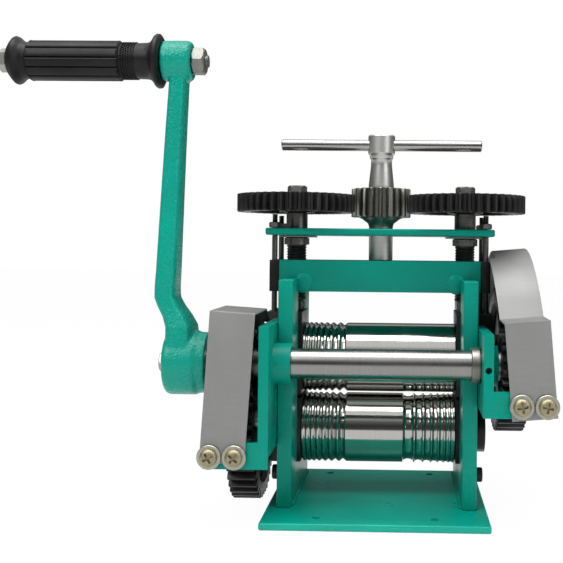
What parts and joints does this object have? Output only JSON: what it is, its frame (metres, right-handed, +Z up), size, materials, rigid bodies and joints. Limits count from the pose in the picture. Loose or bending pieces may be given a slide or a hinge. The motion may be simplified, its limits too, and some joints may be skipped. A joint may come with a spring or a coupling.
{
  "type": "rolling mill",
  "caption": "Hand-cranked bench rolling mill: grooved steel rolls in a green plate frame, geared crank drive with sheet guards, and a geared T-handle that sets the roll gap.",
  "frame": {"origin": "middle of the base plate's underside, where it stands on the bench", "axes": "+Z up, +X along the rolls with the crank at -X, +Y away from the crank shaft towards the back"},
  "size_m": [0.3699, 0.1767, 0.325],
  "materials": {
    "green_paint": "gloss green paint, lightly textured on the cast lever",
    "polished_steel": "ground and polished",
    "machined_steel": "turned, satin",
    "black_steel": "blackened and oiled",
    "oiled_steel": "oiled, dark",
    "grey_sheet": "folded sheet, satin",
    "zinc_plate": "pale yellow zinc plate",
    "bush_bronze": "turned bronze",
    "grip_rubber": "moulded, ribbed"
  },
  "bodies": {
    "frame": {"base_plate": "green_paint", "bracket_left": "green_paint", "bracket_right": "green_paint", "cheek_left": "green_paint", "cheek_right": "green_paint", "crossbar": "green_paint", "foot_bolt_left": "black_steel", "foot_bolt_right": "black_steel", "grub_screw": "black_steel", "guard_left": "grey_sheet", "guard_right": "grey_sheet", "guard_screw_left_1": "zinc_plate", "guard_screw_left_2": "zinc_plate", "guard_screw_right_1": "zinc_plate", "guard_screw_right_2": "zinc_plate", "idler_pin": "machined_steel", "lower_block_left": "black_steel", "lower_block_right": "black_steel", "rod_guide_left": "oiled_steel", "rod_guide_right": "oiled_steel"},
    "crank": {"crank_shaft": "polished_steel", "pinion_left": "black_steel", "pinion_right": "black_steel", "crank_arm": "green_paint", "hub_bolt": "zinc_plate", "grip_bolt": "zinc_plate", "grip_nut": "zinc_plate", "shaft_collar": "oiled_steel"},
    "grip": {"handle_grip": "grip_rubber"},
    "idler": {"idler_gear": "black_steel"},
    "lower_roller": {"lower_roll": "polished_steel", "lower_roll_gear": "black_steel", "lower_gear_nut": "oiled_steel"},
    "carriage": {"upper_block_left": "black_steel", "upper_block_right": "black_steel", "lift_plate": "green_paint", "keeper_left": "machined_steel", "keeper_right": "machined_steel", "lift_rod_left_back": "oiled_steel", "lift_rod_left_front": "oiled_steel", "lift_rod_right_back": "oiled_steel", "lift_rod_right_front": "oiled_steel", "rod_nut_left_back": "machined_steel", "rod_nut_left_front": "machined_steel", "rod_nut_right_back": "machined_steel", "rod_nut_right_front": "machined_steel"},
    "upper_bushes": {"upper_bush_left": "bush_bronze", "upper_bush_right": "bush_bronze"},
    "upper_roller": {"upper_roll": "polished_steel", "upper_roll_gear": "black_steel", "upper_gear_nut": "oiled_steel"},
    "left_screw": {"screw_left": "oiled_steel", "screw_gear_left": "black_steel", "screw_bolt_left": "machined_steel"},
    "right_screw": {"screw_right": "oiled_steel", "screw_gear_right": "black_steel", "screw_bolt_right": "machined_steel"},
    "t_handle": {"handle_spindle": "machined_steel", "handle_pinion": "machined_steel", "handle_bar": "polished_steel"}
  },
  "joints": [
    {"name": "crank_turn", "type": "hinge", "parent": "frame", "child": "crank", "pos_m": [0, -0.05393, 0.1052], "axis": [1, 0, 0], "continuous": true},
    {"name": "grip_spin", "type": "hinge", "parent": "crank", "child": "grip", "pos_m": [-0.196, -0.05393, 0.3052], "axis": [1, 0, 0], "continuous": true},
    {"name": "idler_spin", "type": "hinge", "parent": "frame", "child": "idler", "pos_m": [-0.0925, -0.04919, 0.068], "axis": [1, 0, 0], "continuous": true},
    {"name": "lower_roll_spin", "type": "hinge", "parent": "frame", "child": "lower_roller", "pos_m": [0, 0.016, 0.0505], "axis": [1, 0, 0], "continuous": true},
    {"name": "carriage_lift", "type": "slide", "parent": "frame", "child": "carriage", "axis": [0, 0, 1], "range_m": [-0.0014, 0.0055]},
    {"name": "upper_roll_climb", "type": "hinge", "parent": "carriage", "child": "upper_bushes", "pos_m": [0, 0.016, 0.102], "axis": [1, 0, 0], "range_deg": [-1.8, 6.5]},
    {"name": "upper_roll_spin", "type": "hinge", "parent": "upper_bushes", "child": "upper_roller", "pos_m": [0, 0.016, 0.102], "axis": [1, 0, 0], "continuous": true},
    {"name": "left_screw_turn", "type": "hinge", "parent": "carriage", "child": "left_screw", "pos_m": [-0.062, 0.016, 0.2], "axis": [0, 0, 1], "range_deg": [-253, 991]},
    {"name": "right_screw_turn", "type": "hinge", "parent": "carriage", "child": "right_screw", "pos_m": [0.062, 0.016, 0.2], "axis": [0, 0, 1], "range_deg": [-253, 991]},
    {"name": "handle_turn", "type": "hinge", "parent": "frame", "child": "t_handle", "pos_m": [0, 0.016, 0.2], "axis": [0, 0, 1], "range_deg": [-2080, 530]}
  ],
  "couplings": [
    {"joint": "idler_spin", "follows": "crank_turn", "ratio": -1.1429},
    {"joint": "lower_roll_spin", "follows": "crank_turn", "ratio": 0.4},
    {"joint": "upper_roll_spin", "follows": "crank_turn", "ratio": -0.4},
    {"joint": "handle_turn", "follows": "carriage_lift", "rad_per_m": -6597.3},
    {"joint": "upper_roll_climb", "follows": "carriage_lift", "rad_per_m": 20},
    {"joint": "left_screw_turn", "follows": "carriage_lift", "rad_per_m": 3141.6},
    {"joint": "right_screw_turn", "follows": "carriage_lift", "rad_per_m": 3141.6}
  ]
}
